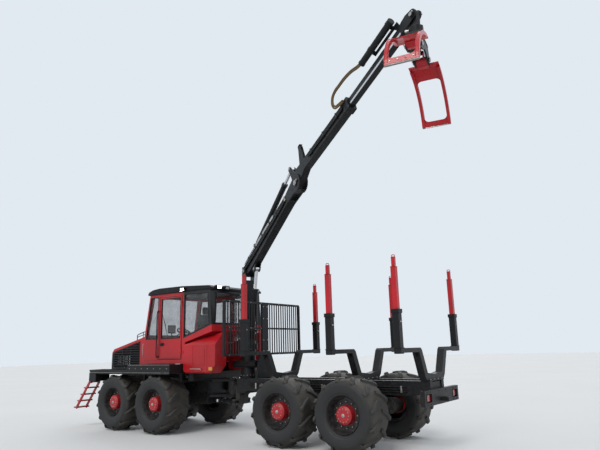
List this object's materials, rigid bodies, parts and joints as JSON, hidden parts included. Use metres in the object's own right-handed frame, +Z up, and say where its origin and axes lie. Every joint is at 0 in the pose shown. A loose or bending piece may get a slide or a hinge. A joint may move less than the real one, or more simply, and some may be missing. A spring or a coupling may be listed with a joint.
{
  "type": "forestry forwarder",
  "caption": "Articulated forestry forwarder on bogies, with a cab, a staked load space, and a grapple crane raised over its side.",
  "frame": {"origin": "middle of the whole machine's box, on the ground under its tyres", "axes": "+X forward along the machine, +Y to its left, +Z up"},
  "size_m": [11.6562, 5.8382, 6.8122],
  "materials": {
    "tyre_rubber": "matt",
    "red_paint": "worn gloss",
    "black_paint": "satin",
    "cab_glass": "clear",
    "rod_steel": "polished",
    "interior_plastic": "matt",
    "cast_engine": "cast"
  },
  "bodies": {
    "rear_frame": {"rear_chassis": "black_paint", "rear_crossmembers": "black_paint", "rear_bumper": "black_paint", "rear_axle": "red_paint", "gate": "black_paint", "bunk_rear": "black_paint", "bunk_middle": "black_paint", "bunk_front": "black_paint", "stake_extensions": "red_paint", "crane_base": "black_paint"},
    "middle_joint": {"middle_joint": "black_paint"},
    "front_frame": {"front_chassis": "black_paint", "front_axle": "red_paint", "engine_block": "cast_engine", "cab_frame": "red_paint", "cab_roof": "black_paint", "cab_glass": "cab_glass", "cab_interior": "interior_plastic", "side_tanks": "red_paint", "walkways": "black_paint"},
    "cab_door": {"cab_door": "red_paint", "door_glass": "cab_glass"},
    "hood": {"hood": "red_paint", "hood_grille": "black_paint"},
    "ladder": {"ladder": "red_paint"},
    "steer_barrel_left": {"steer_barrel_left": "black_paint"},
    "steer_rod_left": {"steer_rod_left": "rod_steel"},
    "steer_barrel_right": {"steer_barrel_right": "black_paint"},
    "steer_rod_right": {"steer_rod_right": "rod_steel"},
    "crane_pillar": {"crane_pillar": "black_paint"},
    "lift_barrel": {"lift_barrel": "black_paint"},
    "lift_rod": {"lift_rod": "rod_steel"},
    "main_boom": {"main_boom": "black_paint"},
    "jib_barrel": {"jib_barrel": "black_paint"},
    "jib_rod": {"jib_rod": "rod_steel"},
    "jib": {"jib": "black_paint"},
    "extension": {"extension": "black_paint"},
    "tip_link": {"tip_link": "black_paint"},
    "grapple": {"rotator": "black_paint", "grapple_frame": "black_paint"},
    "jaw_a": {"jaw_a": "red_paint"},
    "jaw_b": {"jaw_b": "red_paint"},
    "grapple_barrel": {"grapple_barrel": "black_paint"},
    "grapple_rod": {"grapple_rod": "rod_steel"},
    "wheel_front_left_1": {"tyre_front_left_1": "tyre_rubber", "wheel_front_left_1": "red_paint"},
    "wheel_front_left_2": {"tyre_front_left_2": "tyre_rubber", "wheel_front_left_2": "red_paint"},
    "wheel_front_right_1": {"tyre_front_right_1": "tyre_rubber", "wheel_front_right_1": "red_paint"},
    "wheel_front_right_2": {"tyre_front_right_2": "tyre_rubber", "wheel_front_right_2": "red_paint"},
    "wheel_rear_left_1": {"tyre_rear_left_1": "tyre_rubber", "wheel_rear_left_1": "red_paint"},
    "wheel_rear_left_2": {"tyre_rear_left_2": "tyre_rubber", "wheel_rear_left_2": "red_paint"},
    "wheel_rear_right_1": {"tyre_rear_right_1": "tyre_rubber", "wheel_rear_right_1": "red_paint"},
    "wheel_rear_right_2": {"tyre_rear_right_2": "tyre_rubber", "wheel_rear_right_2": "red_paint"}
  },
  "joints": [
    {"name": "roll", "type": "hinge", "parent": "rear_frame", "child": "middle_joint", "pos_m": [0.92353, -1.49506, 1], "axis": [-1, 0, 0], "range_deg": [-10, 10]},
    {"name": "steering", "type": "hinge", "parent": "middle_joint", "child": "front_frame", "pos_m": [1.22353, -1.49506, 1], "axis": [0, 0, 1], "range_deg": [-40, 40]},
    {"name": "steer_barrel_turn_left", "type": "hinge", "parent": "middle_joint", "child": "steer_barrel_left", "pos_m": [0.98353, -1.25506, 0.7], "axis": [0, 0, 1], "range_deg": [-24.85, 24.85]},
    {"name": "steer_rod_slide_left", "type": "slide", "parent": "steer_barrel_left", "child": "steer_rod_left", "axis": [0.9795, -0.2017, 0], "range_m": [-0.13348, 0.13348]},
    {"name": "steer_barrel_turn_right", "type": "hinge", "parent": "middle_joint", "child": "steer_barrel_right", "pos_m": [0.98353, -1.73506, 0.7], "axis": [0, 0, 1], "range_deg": [-24.85, 24.85]},
    {"name": "steer_rod_slide_right", "type": "slide", "parent": "steer_barrel_right", "child": "steer_rod_right", "axis": [0.9795, 0.2017, 0], "range_m": [-0.13348, 0.13348]},
    {"name": "spin_front_left_1", "type": "hinge", "parent": "front_frame", "child": "wheel_front_left_1", "pos_m": [4.17853, -0.49506, 0.67824], "axis": [0, 1, 0], "continuous": true},
    {"name": "spin_front_left_2", "type": "hinge", "parent": "front_frame", "child": "wheel_front_left_2", "pos_m": [2.64853, -0.49506, 0.67824], "axis": [0, 1, 0], "continuous": true},
    {"name": "spin_front_right_1", "type": "hinge", "parent": "front_frame", "child": "wheel_front_right_1", "pos_m": [4.17853, -2.49506, 0.67824], "axis": [0, 1, 0], "continuous": true},
    {"name": "spin_front_right_2", "type": "hinge", "parent": "front_frame", "child": "wheel_front_right_2", "pos_m": [2.64853, -2.49506, 0.67824], "axis": [0, 1, 0], "continuous": true},
    {"name": "spin_rear_left_1", "type": "hinge", "parent": "rear_frame", "child": "wheel_rear_left_1", "pos_m": [-1.11147, -0.49506, 0.67824], "axis": [0, 1, 0], "continuous": true},
    {"name": "spin_rear_left_2", "type": "hinge", "parent": "rear_frame", "child": "wheel_rear_left_2", "pos_m": [-2.64147, -0.49506, 0.67824], "axis": [0, 1, 0], "continuous": true},
    {"name": "spin_rear_right_1", "type": "hinge", "parent": "rear_frame", "child": "wheel_rear_right_1", "pos_m": [-1.11147, -2.49506, 0.67824], "axis": [0, 1, 0], "continuous": true},
    {"name": "spin_rear_right_2", "type": "hinge", "parent": "rear_frame", "child": "wheel_rear_right_2", "pos_m": [-2.64147, -2.49506, 0.67824], "axis": [0, 1, 0], "continuous": true},
    {"name": "door", "type": "hinge", "parent": "front_frame", "child": "cab_door", "pos_m": [2.11753, -0.57906, 2.4], "axis": [0, 0, 1], "range_deg": [0, 80]},
    {"name": "hood_tilt", "type": "hinge", "parent": "front_frame", "child": "hood", "pos_m": [5.01353, -1.49506, 1.425], "axis": [0, 1, 0], "range_deg": [0, 50]},
    {"name": "ladder_fold", "type": "hinge", "parent": "front_frame", "child": "ladder", "pos_m": [5.22953, -0.36506, 1.15], "axis": [0, -1, 0], "range_deg": [0, 110]},
    {"name": "slew", "type": "hinge", "parent": "rear_frame", "child": "crane_pillar", "pos_m": [0.74353, -1.49506, 1.96], "axis": [0, 0, 1], "range_deg": [-82, 138]},
    {"name": "lift", "type": "hinge", "parent": "crane_pillar", "child": "main_boom", "pos_m": [0.74353, -1.49506, 3.78], "axis": [0.4695, 0.8829, 0], "range_deg": [-40, 44]},
    {"name": "lift_barrel_turn", "type": "hinge", "parent": "crane_pillar", "child": "lift_barrel", "pos_m": [0.54487, -1.38943, 2.33], "axis": [0.4695, 0.8829, 0], "range_deg": [-3.97, 4.27]},
    {"name": "lift_rod_slide", "type": "slide", "parent": "lift_barrel", "child": "lift_rod", "axis": [-0.1977, 0.1051, 0.9746], "range_m": [-0.36418, 0.4001]},
    {"name": "jib_fold", "type": "hinge", "parent": "main_boom", "child": "jib", "pos_m": [-1.89433, -0.09249, 5.20499], "axis": [-0.4695, -0.8829, 0], "range_deg": [-10, 55]},
    {"name": "jib_barrel_turn", "type": "hinge", "parent": "main_boom", "child": "jib_barrel", "pos_m": [0.23289, -1.22355, 4.33284], "axis": [0.4695, 0.8829, 0], "range_deg": [-3.13, 1.39]},
    {"name": "jib_rod_slide", "type": "slide", "parent": "jib_barrel", "child": "jib_rod", "axis": [-0.7494, 0.3984, 0.5289], "range_m": [-0.09491, 0.49951]},
    {"name": "extension_slide", "type": "slide", "parent": "jib", "child": "extension", "axis": [0.8421, -0.4477, -0.3007], "range_m": [0, 1.5]},
    {"name": "tip_swing", "type": "hinge", "parent": "extension", "child": "tip_link", "pos_m": [-5.3917, 1.7671, 6.64263], "axis": [0.4695, 0.8829, 0], "range_deg": [-20, 95]},
    {"name": "rotator_turn", "type": "hinge", "parent": "tip_link", "child": "grapple", "pos_m": [-5.3917, 1.7671, 6.31263], "axis": [0, 0, 1], "continuous": true},
    {"name": "jaws", "type": "hinge", "parent": "grapple", "child": "jaw_a", "pos_m": [-5.4394, 2.01251, 6.02263], "axis": [-0.9816, -0.1908, 0], "range_deg": [0, 62]},
    {"name": "jaw_b_turn", "type": "hinge", "parent": "grapple", "child": "jaw_b", "pos_m": [-5.344, 1.52169, 6.02263], "axis": [0.9816, 0.1908, 0], "range_deg": [-1, 63]},
    {"name": "grapple_barrel_turn", "type": "hinge", "parent": "jaw_b", "child": "grapple_barrel", "pos_m": [-5.35586, 1.58269, 6.11581], "axis": [-0.9816, -0.1908, 0], "range_deg": [-1, 63]},
    {"name": "grapple_rod_slide", "type": "slide", "parent": "grapple_barrel", "child": "grapple_rod", "axis": [-0.1908, 0.9816, 0], "range_m": [-0.005, 0.23515]}
  ],
  "couplings": [
    {"joint": "steer_barrel_turn_left", "follows": "steering", "ratio": 0.59633},
    {"joint": "steer_rod_slide_left", "follows": "steering", "m_per_rad": -0.18404},
    {"joint": "steer_barrel_turn_right", "follows": "steering", "ratio": 0.59633},
    {"joint": "steer_rod_slide_right", "follows": "steering", "m_per_rad": 0.18404},
    {"joint": "lift_barrel_turn", "follows": "lift", "ratio": 0.07433},
    {"joint": "lift_rod_slide", "follows": "lift", "m_per_rad": 0.51449},
    {"joint": "jib_barrel_turn", "follows": "jib_fold", "ratio": -0.03881},
    {"joint": "jib_rod_slide", "follows": "jib_fold", "m_per_rad": 0.51515},
    {"joint": "jaw_b_turn", "follows": "jaws", "ratio": 1},
    {"joint": "grapple_barrel_turn", "follows": "jaws", "ratio": 1},
    {"joint": "grapple_rod_slide", "follows": "jaws", "m_per_rad": 0.21269}
  ]
}
